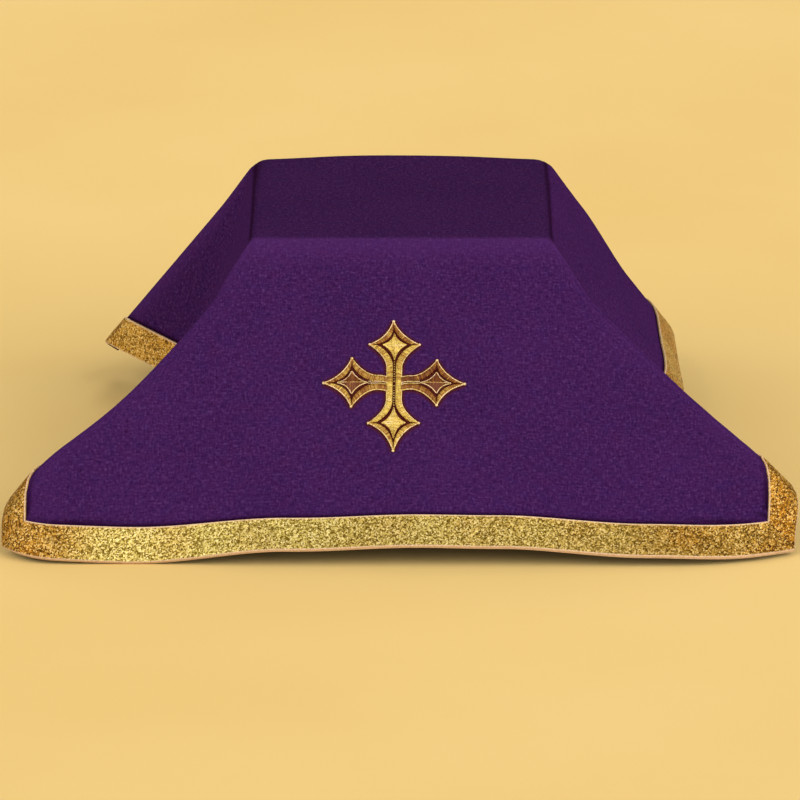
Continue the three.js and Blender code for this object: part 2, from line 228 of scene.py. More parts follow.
def rounded(u, v):
    """The same cloth with rounded folds: the mean over a disc around each point."""
    over_u, over_v = np.clip(np.abs(u) - HALF, 0, None), np.clip(np.abs(v) - HALF, 0, None)
    reach = np.hypot(over_u, over_v)
    behind = ease((v - BEHIND["from"]) / BEHIND["over"])
    corner = ease((np.abs(u) - BACK_CORNER["from"]) / BACK_CORNER["over"])
    corner = corner * (1 - ease(reach / BACK_CORNER["fade"]))
    board = BEND["board"] + BACK_CORNER["gain"] * behind * corner
    shrink = BEND["hem"] * np.clip((reach - BEND["from"]) / BEND["length"], 0, 1)
    growth = np.minimum(BEND["growth"] * reach, BEND["gain"]) - shrink
    roll = ROLL["gain"] * (u > 0) * ease((reach - ROLL["from"]) / ROLL["over"])
    radius = board + (1 - (BEHIND["crisp"] - roll) * behind) * growth
    total, count = folded(u, v), 1
    for ring, points in ((0.5, 6), (1.0, 12)):
        for i in range(points):
            a = 2 * math.pi * (i + 0.5 * ring) / points
            total = total + folded(u + ring * radius * math.cos(a), v + ring * radius * math.sin(a))
            count += 1
    return total / count


def hem_wave(u, key):
    value = np.full(u.shape, float(HEM_WAVE[0][key]))
    for a, b in zip(HEM_WAVE[:-1], HEM_WAVE[1:]):
        part = a[key] + (b[key] - a[key]) * ease((u - a["u"]) / (b["u"] - a["u"]))
        value = np.where(u >= a["u"], part, value)
    return value


def drape(u, v):
    """Middle of the cloth's thickness, in millimetres."""
    point = rounded(u, v)
    down = np.clip((-HALF - v) / FRONT_DROP, 0, 1)
    wave = hem_wave(u, "drop") * down**1.5
    kick = hem_wave(u, "kick") * np.clip((FRONT + KICK_WIDTH - v) / KICK_WIDTH, 0, 1.2) ** 2
    point[..., 2] += CLOTH_MIDDLE - 0.85 * wave + 0.75 * kick
    point[..., 1] += 0.35 * wave - kick
    for row in CURLS:
        side, width, upper = row["side"], row["width"], row["upper"]
        border = LEFT if side < 0 else RIGHT
        curl = np.clip((side * (u - border) + width) / width, 0, 1.2) ** 2
        curl = curl * ease((down - CURL["from"]) / CURL["rise"])
        low = ease((down - CURL["low_from"]) / CURL["low_rise"])
        point[..., 0] -= side * CURL["in"] * curl * (upper + (1 - upper) * low)
        point[..., 1] += CURL["back"] * curl
    return point


def soft_height(u, v):
    """Height of the soft waves over the folds."""
    height = np.zeros(u.shape)
    for f in SOFT_FOLDS:
        a = math.radians(f["turn"])
        along = (u - f["u"]) * math.cos(a) + (v - f["v"]) * math.sin(a)
        across = -(u - f["u"]) * math.sin(a) + (v - f["v"]) * math.cos(a)
        height += f["height"] * np.exp(-((along / f["length"]) ** 2) - (across / f["width"]) ** 2)
    return height


def outward(u, v, step=1.2):
    across = drape(u + step, v) - drape(u - step, v)
    along = drape(u, v + step) - drape(u, v - step)
    return unit(np.cross(across, along))


def surface(u, v, height=0.0):
    """Points at a height over the middle of the cloth, in millimetres."""
    u, v = np.asarray(u, float), np.asarray(v, float)
    lift = soft_height(u, v) + height
    return drape(u, v) + outward(u, v) * lift[..., None]


# Noise and meshes


def smooth_noise(x, y, cell, seed):
    """Smooth repeatable noise from 0 to 1 over a plane."""
    size = 257
    grid = np.random.default_rng(seed).random((size, size))
    fx, fy = x / cell, y / cell
    ix, iy = np.floor(fx).astype(int), np.floor(fy).astype(int)
    tx, ty = ease(fx - ix), ease(fy - iy)
    at = lambda i, j: grid[i % size, j % size]
    low = at(ix, iy) * (1 - tx) + at(ix + 1, iy) * tx
    high = at(ix, iy + 1) * (1 - tx) + at(ix + 1, iy + 1) * tx
    return low * (1 - ty) + high * ty


def make_mesh(name, points, faces, material, attributes=None):
    """A mesh object from points in millimetres."""
    mesh = bpy.data.meshes.new(name)
    mesh.from_pydata((np.asarray(points) / 1000).tolist(), [], [tuple(int(i) for i in f) for f in faces])
    for key, values in (attributes or {}).items():
        values = np.asarray(values, np.float32)
        kind = "FLOAT" if values.ndim == 1 else "FLOAT_VECTOR"
        slot = "value" if values.ndim == 1 else "vector"
        mesh.attributes.new(key, kind, "POINT").data.foreach_set(slot, values.ravel())
    mesh.polygons.foreach_set("use_smooth", [True] * len(mesh.polygons))
    mesh.materials.append(material)
    obj = bpy.data.objects.new(name, mesh)
    bpy.context.scene.collection.objects.link(obj)
    return obj


def grid_faces(rows, columns, closed=False):
    last = columns if closed else columns - 1
    i, j = np.meshgrid(np.arange(rows - 1), np.arange(last), indexing="ij")
    k = (j + 1) % columns
    corners = [i * columns + j, (i + 1) * columns + j, (i + 1) * columns + k, i * columns + k]
    return np.stack(corners, -1).reshape(-1, 4)


def resample(path, count):
    """Evenly spaced points along a path."""
    path = np.array(path, float)
    length = np.concatenate([[0], np.cumsum(np.linalg.norm(np.diff(path, axis=0), axis=1))])
    at = np.linspace(0, length[-1], count)
    return np.stack([np.interp(at, length, path[:, k]) for k in (0, 1)], -1)


# Materials


class Nodes:
    """Short forms for building a node material."""

    def __init__(self, name):
        self.material = bpy.data.materials.new(name)
        self.material.use_nodes = True
        self.tree = self.material.node_tree
        self.shader = self.tree.nodes["Principled BSDF"]

    def add(self, kind, inputs=None, **settings):
        node = self.tree.nodes.new(kind)
        for key, value in settings.items():
            setattr(node, key, value)
        for key, value in (inputs or {}).items():
            self.put(node.inputs[key], value)
        return node

    def put(self, socket, value):
        if hasattr(value, "is_output"):
            self.tree.links.new(value, socket)
        else:
            socket.default_value = value

    def math(self, operation, a, b=0.0, c=0.0):
        node = self.add("ShaderNodeMath", operation=operation)
        for socket, value in zip(node.inputs, (a, b, c)):
            self.put(socket, value)
        return node.outputs[0]

    def mix(self, factor, a, b):
        node = self.add("ShaderNodeMix", data_type="RGBA")
        self.put(node.inputs[0], factor)
        self.put(node.inputs[6], a)
        self.put(node.inputs[7], b)
        return node.outputs[2]

    def tint(self, factor, a, b):
        node = self.add("ShaderNodeMix", data_type="RGBA", blend_type="MULTIPLY")
        self.put(node.inputs[0], factor)
        self.put(node.inputs[6], a)
        self.put(node.inputs[7], b)
        return node.outputs[2]

    def noise(self, vector, scale, detail=2.0, roughness=0.5):
        inputs = {"Vector": vector, "Scale": scale, "Detail": detail, "Roughness": roughness}
        return self.add("ShaderNodeTexNoise", inputs).outputs["Fac"]

    def span(self, value, low, high, to_low=0.0, to_high=1.0):
        inputs = {"Value": value, "From Min": low, "From Max": high, "To Min": to_low, "To Max": to_high}
        return self.add("ShaderNodeMapRange", inputs).outputs["Result"]

    def attribute(self, name, output="Fac"):
        return self.add("ShaderNodeAttribute", attribute_name=name).outputs[output]

    def scaled(self, vector, factors):
        return self.add("ShaderNodeVectorMath", {0: vector, 1: factors}, operation="MULTIPLY").outputs[0]

    def bump(self, height, strength, distance, normal=None):
        node = self.add("ShaderNodeBump", {"Height": height, "Strength": strength, "Distance": distance})
        if normal is not None:
            self.put(node.inputs["Normal"], normal)
        return node.outputs["Normal"]

    def set(self, **values):
        for key, value in values.items():
            self.put(self.shader.inputs[key.replace("_", " ")], value)


def cloth_material():
    n = Nodes("purple_wool")
    flat = n.attribute("flat", "Vector")  # millimetres on the flat cloth
    shaded, crest = n.attribute("shaded"), n.attribute("crest")
    blotch = n.noise(flat, 0.016, 3.0, 0.55)
    mottle = n.noise(flat, 0.11, 4.0, 0.65)
    warp = n.noise(n.scaled(flat, (1.0, 0.30, 1.0)), 0.85, 2.0, 0.6)
    weft = n.noise(n.scaled(flat, (0.30, 1.0, 1.0)), 0.85, 2.0, 0.6)
    nap = n.noise(flat, 0.62, 2.0, 0.5)
    grain = n.math("MULTIPLY", n.math("ADD", warp, n.math("ADD", weft, nap)), 1 / 3)
    base = n.mix(n.span(blotch, 0.35, 0.65), (0.0345, 0.0086, 0.0605, 1), (0.0400, 0.0099, 0.0685, 1))
    base = n.mix(n.math("MULTIPLY", n.span(mottle, 0.52, 0.75), 0.5), base, (0.026, 0.0094, 0.075, 1))
    base = n.mix(n.math("MULTIPLY", n.span(mottle, 0.48, 0.26), 0.5), base, (0.052, 0.0088, 0.058, 1))
    base = n.mix(n.math("MULTIPLY", n.span(grain, 0.51, 0.66), 0.75), base, (0.084, 0.031, 0.128, 1))
    base = n.mix(n.math("MULTIPLY", n.span(grain, 0.49, 0.34), 0.80), base, (0.012, 0.0020, 0.023, 1))
    # painted shade: the flat top tinted darker and redder
    base = n.tint(n.attribute("top"), base, (0.81, 0.84, 0.68, 1))
    # painted sheen: lighter purple along the bends that face the front
    base = n.mix(n.math("MULTIPLY", crest, 0.60), base, (0.075, 0.020, 0.120, 1))
    base = n.mix(n.math("MULTIPLY", shaded, 0.90), base, (0.009, 0.001, 0.008, 1))
    place = n.add("ShaderNodeSeparateXYZ", {"Vector": flat})
    diagonal = n.math("MULTIPLY", n.math("ADD", place.outputs[0], place.outputs[1]), 2 * math.pi / 0.9)
    across = n.math("MULTIPLY", place.outputs[1], 2 * math.pi / 0.55)
    rib = n.math("MULTIPLY", n.math("SINE", across), 0.4)
    twill = n.math("ADD", n.math("MULTIPLY", n.math("SINE", diagonal), 0.6), rib)
    normal = n.bump(twill, 0.25, 0.00012, n.bump(grain, 0.5, 0.0006))
    n.set(Base_Color=base, Roughness=n.span(grain, 0.3, 0.7, 0.95, 0.85), Normal=normal)
    n.set(Sheen_Weight=0.015, Sheen_Roughness=0.5, Sheen_Tint=(0.55, 0.15, 0.80, 1))
    n.set(Specular_IOR_Level=0.0)
    return n.material


def galloon_material():
    n = Nodes("gold_galloon")
    place = n.add("ShaderNodeTexCoord").outputs["Object"]
    edge, shade, relief = n.attribute("edge"), n.attribute("shade"), n.attribute("relief")
    beads = {"Vector": place, "Scale": 1150.0, "Randomness": 1.0}
    cells = n.add("ShaderNodeTexVoronoi", beads, feature="F1")
    spark = n.add("ShaderNodeSeparateColor", {0: cells.outputs["Color"]})
    worm = n.noise(place, 760.0, 1.5, 0.55)
    fine = n.noise(place, 2200.0, 2.0, 0.6)
    ridge = n.math("ABSOLUTE", n.math("SUBTRACT", worm, 0.5))
    grain = n.math("ADD", n.math("MULTIPLY", relief, 0.40), n.math("MULTIPLY", spark.outputs[0], 0.36))
    grain = n.math("ADD", grain, n.span(ridge, 0.0, 0.13, 0.0, 0.24))
    light = n.mix(shade, (0.67, 0.525, 0.14, 1), (0.42, 0.178, 0.008, 1))
    dark = n.mix(shade, (0.145, 0.085, 0.001, 1), (0.065, 0.020, 0.0002, 1))
    gleam = n.mix(shade, (0.92, 0.76, 0.32, 1), (0.68, 0.41, 0.11, 1))
    base = n.mix(n.span(grain, 0.38, 0.61), dark, light)
    base = n.mix(n.math("MULTIPLY", n.span(spark.outputs[1], 0.76, 0.86), 0.80), base, gleam)
    base = n.mix(n.math("MULTIPLY", n.span(spark.outputs[1], 0.22, 0.12), 0.65), base, dark)
    pale = n.mix(n.span(fine, 0.35, 0.65), (0.46, 0.27, 0.13, 1), (0.78, 0.58, 0.40, 1))
    base = n.mix(edge, base, pale)
    bump = n.bump(n.math("ADD", cells.outputs["Distance"], n.math("MULTIPLY", fine, 0.4)), 0.5, 0.0004)
    n.set(Base_Color=base, Normal=bump, Roughness=n.span(spark.outputs[2], 0.0, 1.0, 0.26, 0.5))
    n.set(Metallic=n.span(edge, 0.0, 1.0, 0.4, 0.05), Specular_IOR_Level=0.1)
    return n.material


def thread_material():
    n = Nodes("gold_thread")
    place = n.add("ShaderNodeTexCoord").outputs["Object"]
    tone = n.attribute("tone")
    streak = n.noise(place, 1100.0, 3.0, 0.6)
    broad = n.noise(place, 260.0, 2.0, 0.5)
    # painted sheen: each band's level also stands for how brightly its stitches catch the light
    level = n.math("ADD", tone, n.math("MULTIPLY", n.math("SUBTRACT", broad, 0.5), 0.8))
    base = n.mix(n.span(level, 0.0, 0.5), (0.115, 0.022, 0.004, 1), (0.32, 0.125, 0.020, 1))
    base = n.mix(n.span(level, 0.5, 1.0), base, (0.74, 0.545, 0.115, 1))
    base = n.mix(n.math("MULTIPLY", n.span(level, 1.05, 1.5), 0.9), base, (0.93, 0.69, 0.43, 1))
    base = n.mix(n.math("MULTIPLY", n.span(streak, 0.50, 0.66), 0.70), base, (0.09, 0.036, 0.004, 1))
    n.set(Base_Color=base, Normal=n.bump(streak, 0.4, 0.0002), Roughness=0.38, Metallic=0.15)
    n.set(Specular_IOR_Level=0.2)
    return n.material


def ground_and_shadow_material():
    n = Nodes("stitched_ground_and_shadow")
    place = n.add("ShaderNodeTexCoord").outputs["Object"]
    speck = n.noise(place, 800.0, 2.0, 0.6)
    # dark brown ground, partly the real ground under the stitches and partly painted shadow round and
    # between them; its rim fades into the cloth's purple
    base = n.mix(n.span(speck, 0.40, 0.72), (0.036, 0.0040, 0.0040, 1), (0.085, 0.018, 0.010, 1))
    base = n.mix(n.attribute("fade"), base, (0.045, 0.0096, 0.050, 1))
    n.set(Base_Color=base, Roughness=0.9, Normal=n.bump(speck, 0.4, 0.0003), Specular_IOR_Level=0.0)
    return n.material


def floor_material():
    n = Nodes("pale_floor")
    place = n.add("ShaderNodeTexCoord").outputs["Object"]
    cloud = n.noise(place, 3.0, 3.0, 0.5)
    base = n.mix(n.span(cloud, 0.3, 0.7), (0.735, 0.503, 0.175, 1), (0.765, 0.538, 0.203, 1))
    n.set(Base_Color=base, Roughness=0.9, Specular_IOR_Level=0.1)
    return n.material


# Camera, floor and light


def aim(obj, target):
    obj.rotation_euler = (Vector(target) - obj.location).to_track_quat("-Z", "Y").to_euler()


ELEVATION = math.radians(16.3)
DISTANCE = 4.0
FOCAL = 6504  # focal length in pixels of the 800 pixel picture
camera = bpy.data.objects.new("camera", bpy.data.cameras.new("camera"))
bpy.context.scene.collection.objects.link(camera)
bpy.context.scene.camera = camera
camera.data.sensor_width = 36
camera.data.lens = 36 * FOCAL / 800
camera.data.clip_end = 60
look_up = Vector((0, math.sin(ELEVATION), math.cos(ELEVATION)))
front_edge = Vector((0, -HALF / 1000, 0))
camera.location = front_edge + Vector((0, -math.cos(ELEVATION), math.sin(ELEVATION))) * DISTANCE
aim(camera, front_edge - look_up * (160 / FOCAL * DISTANCE) - Vector((1 / FOCAL * DISTANCE, 0, 0)))

bpy.ops.mesh.primitive_plane_add(size=30, location=(0, 6, cad_box[0].z - 0.0006))
floor = bpy.context.object
floor.name = "floor"
floor.data.materials.append(floor_material())

world = bpy.data.worlds.new("studio")
bpy.context.scene.world = world
world.use_nodes = True
world.node_tree.nodes["Background"].inputs[0].default_value = (1.0, 0.97, 0.92, 1)
world.node_tree.nodes["Background"].inputs[1].default_value = 0.2
bpy.context.scene.view_settings.view_transform = "Standard"

LIGHTS = [
    {"name": "key", "turn": -15, "height": 38, "strength": 0.47, "spread": 45},
    {"name": "right", "turn": 52, "height": 30, "strength": 2.92, "spread": 55},
    {"name": "left", "turn": -62, "height": 30, "strength": 1.79, "spread": 55},
    {"name": "back", "turn": 172, "height": 45, "strength": 0.65, "spread": 24},
]
for row in LIGHTS:
    light = bpy.data.objects.new(row["name"], bpy.data.lights.new(row["name"], "SUN"))
    light.data.energy = row["strength"]
    light.data.angle = math.radians(row["spread"])
    light.data.color = (1.0, 0.99, 0.97)
    turn, height = math.radians(row["turn"]), math.radians(row["height"])
    level = math.cos(height)
    away = Vector((math.sin(turn) * level, -math.cos(turn) * level, math.sin(height)))
    light.location = away * 4
    bpy.context.scene.collection.objects.link(light)
    aim(light, (0, 0, 0))


# The cloth


def corner_room(fold):
    """How far the cloth goes past this corner of the board, to the side and to the end."""
    wide = RIGHT - HALF if fold["x"] > 0 else -HALF - LEFT
    deep = BACK - HALF if fold["y"] > 0 else -HALF - FRONT
    return wide, deep


def ray_angles(fold):
    """Angles of the columns at a corner, dense at the ridge and round the valley."""
    wide, deep = corner_room(fold)
    tip = math.degrees(math.atan2(wide, deep) if fold["y"] < 0 else math.atan2(deep, wide))
    low, high = fold["ridge"] - fold["bow"] - 4, fold["ridge"] + 4
    angles = [*np.arange(1.4, low, 1.4), *np.arange(low, high, 0.5), *np.arange(high, 89, 1.1)]
    return sorted([*(a for a in angles if abs(a - tip) > 0.25), tip])


def cloth_columns():
    """Start and end of every column on the flat cloth, once round the board."""
    steps = np.linspace(-HALF, HALF, 52)
    rays = {}
    for fold in FOLDS:
        wide, deep = corner_room(fold)
        found = []
        for angle in ray_angles(fold):
            c, s = math.cos(math.radians(angle)), math.sin(math.radians(angle))
            dx, dy = (s, c) if fold["y"] < 0 else (c, s)
            reach = min(wide / dx, deep / dy)
            u, v = fold["x"] * HALF, fold["y"] * HALF
            found.append(((u, v), (u + fold["x"] * dx * reach, v + fold["y"] * dy * reach)))
        rays[(fold["x"], fold["y"])] = found
    columns = [((u, -HALF), (u, FRONT)) for u in steps]
    columns += rays[(1, -1)]
    columns += [((HALF, v), (RIGHT, v)) for v in steps]
    columns += rays[(1, 1)]
    columns += [((u, HALF), (u, BACK)) for u in steps[::-1]]
    columns += rays[(-1, 1)][::-1]
    columns += [((-HALF, v), (LEFT, v)) for v in steps[::-1]]
    columns += rays[(-1, -1)][::-1]
    return np.array(columns)


def cloth_net():
    """Flat points, faces and the numbers of the rim's points, from the middle to the hem."""
    ends = cloth_columns()
    start, end = ends[:, 0], ends[:, 1]
    length = np.linalg.norm(end - start, axis=1, keepdims=True)
    first = [0.0, 1.5, 3.0, 5.0, 7.5, 10.5, 14.0]
    last = [26.5, 25.0, 24.1, 23.3, 22.6, 21.9, 20.5, 13.0, 7.0, 3.0, 1.0, 0.0]
    rows = [start * k for k in (0.16, 0.34, 0.54, 0.72, 0.84, 0.915, 0.96, 0.985)]
    rows += [start + (end - start) / length * d for d in first]
    inner = length - first[-1] - last[0]
    rows += [start + (end - start) / length * (first[-1] + inner * t) for t in np.linspace(0, 1, 40)[1:]]
    rows += [end - (end - start) / length * d for d in last[1:]]
    flat = np.concatenate(rows)
    count = len(ends)
    numbers, kept, index = {}, [], np.empty(len(flat), int)
    for i, p in enumerate(flat):
        key = (round(p[0], 4), round(p[1], 4))
        if key not in numbers:
            numbers[key] = len(kept)
            kept.append(p)
        index[i] = numbers[key]
    kept.append(np.zeros(2))
    faces = []
    for face in index[grid_faces(len(rows), count, closed=True)]:
        ring = [int(p) for k, p in enumerate(face) if p != face[k - 1]]
        if len(set(ring)) >= 3:
            faces.append(tuple(ring))
    for j in range(count):
        a, b = int(index[j]), int(index[(j + 1) % count])
        if a != b:
            faces.append((len(kept) - 1, a, b))
    return np.array(kept), faces, index[-count:]


def build_cloth(material):
    flat, faces, rim = cloth_net()
    u, v = flat[:, 0], flat[:, 1]
    middle, normal = surface(u, v), outward(u, v)
    to_edge = np.minimum(np.minimum(u - LEFT, RIGHT - u), np.minimum(v - FRONT, BACK - v))
    under = HALF_THICK + HEM_THICK * ease((HEM_WIDTH - to_edge) / 1.5)
    points = np.concatenate([middle + normal * HALF_THICK, middle - normal * under[:, None]])
    n = len(flat)
    below = [tuple(p + n for p in face[::-1]) for face in faces]
    pairs = [(int(rim[j]), int(rim[(j + 1) % len(rim)])) for j in range(len(rim))]
    wall = [(a, a + n, b + n, b) for a, b in pairs if a != b]
    # the shade beside the braid and in the two creases along the board's sides
    beside = np.exp(-(((to_edge - GALLOON - 0.7) / 1.5) ** 2)) * (to_edge > GALLOON - 2)
    widening = (u < 0) * ease((v - 5) / 75)
    side_crease = np.exp(-(((np.abs(u) - HALF - 1.0 - 1.8 * widening) / (1.8 + 2.4 * widening)) ** 2))
    side_crease = side_crease * ease((HALF + 7 - np.abs(v)) / 14)
    shaded = np.clip(beside + 0.9 * side_crease, 0, 1)
    # painted sheen: the cloth is drawn lighter where it bends over the front edge and the ridges, only where
    # it faces the front, and in a strip just below the front edge
    far = 5.0
    around = sum(drape(u + a * far, v + b * far) for a, b in ((1, 0), (-1, 0), (0, 1), (0, -1))) / 4
    bend = -((around - drape(u, v)) * normal).sum(-1)
    crest = np.clip(bend / 0.9, 0, 1) * np.clip(-normal[:, 1] / 0.4, 0, 1)
    highlight_below_edge = 0.55 * np.exp(-(((v + HALF + 2) / 12) ** 2)) * (v < -HALF - 0.5) * (np.abs(u) < HALF + 4)
    crest = np.clip(np.maximum(crest, highlight_below_edge), 0, 1)
    # painted shade: the flat top is drawn darker and redder, more so towards the back, as it takes less
    # light than the front
    on_top = ease((HALF - np.abs(u)) / 4 + 1) * ease((HALF - np.abs(v)) / 4 + 0.6)
    top = on_top * (0.8 + 0.4 * (v + HALF) / BOARD)
    attributes = {
        "flat": np.concatenate([np.stack([u, v, 0 * u], -1), np.stack([u, v, 0 * u + 9], -1)]),
        "shaded": np.concatenate([shaded, 0 * shaded]),
        "crest": np.concatenate([crest, 0 * crest]),
        "top": np.concatenate([top, 0 * top]),
    }
    return make_mesh("veil_cloth", points, faces + below + wall, material, attributes)


cloth = build_cloth(cloth_material())


# The galloon

# Painted shade: how brown and dark the gold is drawn along the front braid, from 0, lemon, to 1, orange
# brown; it is darker towards the right and at the corners, where the braid takes less light.
FRONT_SHADE = [(-250, 1.0), (-222, 1.0), (-205, 0.8), (-182, 0.25), (-158, 0.05), (-80, 0.22), (-20, 0.2)]
FRONT_SHADE += [(40, 0.35), (90, 0.5), (150, 0.68), (205, 0.75), (232, 1.0), (250, 1.0)]
# Where the braid's lines lie across it, dense at both selvedges.
ACROSS = [-0.25, 0.0, 0.25, 0.5, 0.8, 1.1, 1.45, *np.arange(1.9, GALLOON - 1.8, 0.62)]
ACROSS += [20.55, 20.9, 21.2, 21.5, 21.78, 22.0]
GALLOON_SEEDS = {"front": 3, "back": 5, "left": 7, "right": 11}


def build_galloon(side, material):
    """One length of braid, mitred at its ends, with a pebbled face and raised selvedges."""
    gap = 0.2
    t = np.linspace(0, 1, 1150)[:, None]
    w = np.array(ACROSS)[None, :]
    low, high = (LEFT, RIGHT) if side in ("front", "back") else (FRONT, BACK)
    along = low + w + gap + (high - low - 2 * w - 2 * gap) * t
    w = w + 0 * along
    u, v = {
        "front": (along, FRONT + w), "back": (along[::-1], BACK - w),
        "left": (LEFT + w, along[::-1]), "right": (RIGHT - w, along),
    }[side]
    run = along[::-1] if side in ("back", "left") else along
    outer_selvedge = np.exp(-((np.maximum(w - 0.2, 0) / 0.4) ** 2))
    selvedge = outer_selvedge + np.exp(-(((w - (GALLOON - 0.6)) / 0.42) ** 2))
    inner = 0.75 + 0.25 * (w > GALLOON / 2)
    seed = GALLOON_SEEDS[side]
    grain = lambda cell, number: smooth_noise(run + 400, w + 9, cell, seed + number)
    pebble = 0.6 * grain(0.9, 0) + 0.4 * grain(0.6, 1)
    if side in ("left", "right"):
        pebble = 0.05 + 0.65 * pebble + 0.4 * grain(2.8, 3)
        # painted light: from about 50 mm behind the front corners the side braids get a higher pebble, which
        # draws their gold lighter
        pebble = pebble + 0.15 * ease((run - low - 50) / 60)
    if side in ("front", "right"):  # painted shade: the right front corner is drawn a little darker
        from_corner = high - run if side == "front" else run - low
        pebble = pebble - 0.08 * ease((60 - from_corner) / 30)
    body = ease((w - 1.0) / 0.6) * ease((GALLOON - 1.0 - w) / 0.6)
    twist = 0.5 + 0.5 * np.sin(run * 2 * math.pi / 1.5)
    rim = np.clip(np.minimum(w + 0.25, GALLOON - w) / 0.5, 0, 1) ** 0.5
    height = (0.55 + 0.40 * selvedge * (0.7 + 0.3 * twist) + 0.45 * (pebble - 0.3) * body) * rim
    normal = outward(u, v)
    bottom = surface(u, v, BRAID_BOTTOM - 1.2 * (w < -0.1))  # the outer edge wraps the hem
    outer = 1 - np.clip((w + 0.25) / 1.0, 0, 1)
    top = surface(u, v, BRAID_TOP) + normal * (height - outer**2)[..., None]
    rows, columns = along.shape
    n = rows * columns
    ring = np.concatenate([
        np.arange(columns), np.arange(1, rows) * columns + columns - 1,
        (rows - 1) * columns + np.arange(columns - 2, -1, -1), np.arange(rows - 2, 0, -1) * columns,
    ])
    points = np.concatenate([top.reshape(-1, 3), bottom.reshape(-1, 3)[ring]])
    low_ring = n + np.arange(len(ring))
    wall = np.stack([ring, np.roll(ring, -1), np.roll(low_ring, -1), low_ring], -1)
    if side == "front":
        places, values = zip(*FRONT_SHADE)
        shade = np.interp(run, places, values)
    else:
        # painted shade: the side braids are drawn browner and darker, most near their ends
        shade = 0.85 + 0.1 * np.clip(1 - np.minimum(run - low, high - run) / 60, 0, 1)
    shade = np.clip(shade + 0.5 * (grain(22, 2) - 0.5), 0, 1)
    whole = lambda values: np.concatenate([values.ravel(), values.ravel()[ring]])
    attributes = {
        "edge": whole(np.clip(selvedge * inner * 1.3, 0, 1)),
        "shade": whole(shade),
        "relief": whole(pebble),
    }
    faces = [grid_faces(rows, columns), wall]
    if side in ("front", "back"):
        faces = [f[:, ::-1] for f in faces]
    return make_mesh(f"galloon_{side}", points, np.concatenate(faces), material, attributes)


gold = galloon_material()
galloons = {side: build_galloon(side, gold) for side in ("front", "right", "back", "left")}


# The cross

CROSS_U, CROSS_V, CROSS_TURN = -4.2, -HALF - 97.1, -0.8
CROSS_BASE = 1.1  # where the stitches start, over the middle of the cloth
# Tones run from 0, red brown, over 1, bright yellow, to 1.5, cream. They are partly the gold's own
# colours and partly painted sheen: each band is drawn as bright as its stitches catch the light by
# their direction. The first of a pair is the side that faces up in the picture, or the left side of
# an upright arm.
ARMS = [
    {
        "turn": 0, "tip": 43.0, "lean": 0.5, "rise": 0.9, "spread": 0.94,
        "shaft": (0.15, 0.34), "end": (0.30, 0.50), "gem": (0.0, 0.0),
    },
    {
        "turn": 180, "tip": 43.0, "lean": -0.5, "rise": -0.9, "spread": 1.0,
        "shaft": (0.55, 0.48), "end": (0.55, 0.68), "gem": (0.12, 0.05),
    },
    {
        "turn": 90, "tip": 41.4, "lean": 0.9, "rise": 0, "spread": 0.96,
        "shaft": (0.82, 0.78), "end": (0.45, 0.45), "gem": (1.0, 0.95),
    },
    {
        "turn": 270, "tip": 44.3, "lean": 0, "rise": 0, "spread": 0.97,
        "shaft": (0.95, 0.88), "end": (0.68, 0.72), "gem": (1.05, 0.95),
    },
]


def curve3(a, b, c, count):
    """Points of the arc from a to c drawn towards b."""
    t = np.linspace(0, 1, count)[:, None]
    a, b, c = (np.array(p, float) for p in (a, b, c))
    return (1 - t) ** 2 * a + 2 * t * (1 - t) * b + t**2 * c


def arm_place(arm):
    """Where a point of the arm lies; the arm's axis may rise a little and its tip lean."""
    a = math.radians(arm["turn"] + CROSS_TURN)
    c, s = math.cos(a), math.sin(a)

    def place(p):
        x, y = p[0], p[1] * arm["spread"]
        y = y + arm["rise"] * ease((x - 3) / 6) + (arm["lean"] - arm["rise"]) * ease((x - 28) / 14)
        return np.array([x * c - y * s, x * s + y * c])

    return place


def arm_lines(arm, side):
    """Edges of the arm's bands on one side of its axis, and of the diamond inside its end."""
    tip = arm["tip"]
    shaft, barb = (9.0, 4.6 * side), (26.0, 15.8 * side)
    start = 0.0 if arm["turn"] % 180 else 4.6
    outer_shaft = np.concatenate([[(start, 4.6 * side)], curve3(shaft, (17.5, 3.8 * side), barb, 24)])
    inner_shaft = np.concatenate([
        [(start, 0.95 * side), (11.0, 0.95 * side)],
        curve3((13.0, 1.0 * side), (21.0, 2.9 * side), (25.3, 10.6 * side), 16), [(25.8, 14.6 * side)],
    ])
    outer_end = curve3(barb, (30.7, 4.2 * side), (tip, 0.0), 24)
    inner_end = np.concatenate([
        [(26.0, 14.4 * side)],
        curve3((26.4, 10.4 * side), (28.9, 2.7 * side), (tip - 5.8, 0.5 * side), 16),
        [(tip - 0.8, 0.0)],
    ])
    gem = np.concatenate([
        curve3((15.8, 0.0), (22.6, 1.3 * side), (25.9, 7.6 * side), 12),
        curve3((25.9, 7.6 * side), (27.9, 1.3 * side), (tip - 8.2, 0.0), 12)[1:],
    ])
    return outer_shaft, inner_shaft, outer_end, inner_end, gem


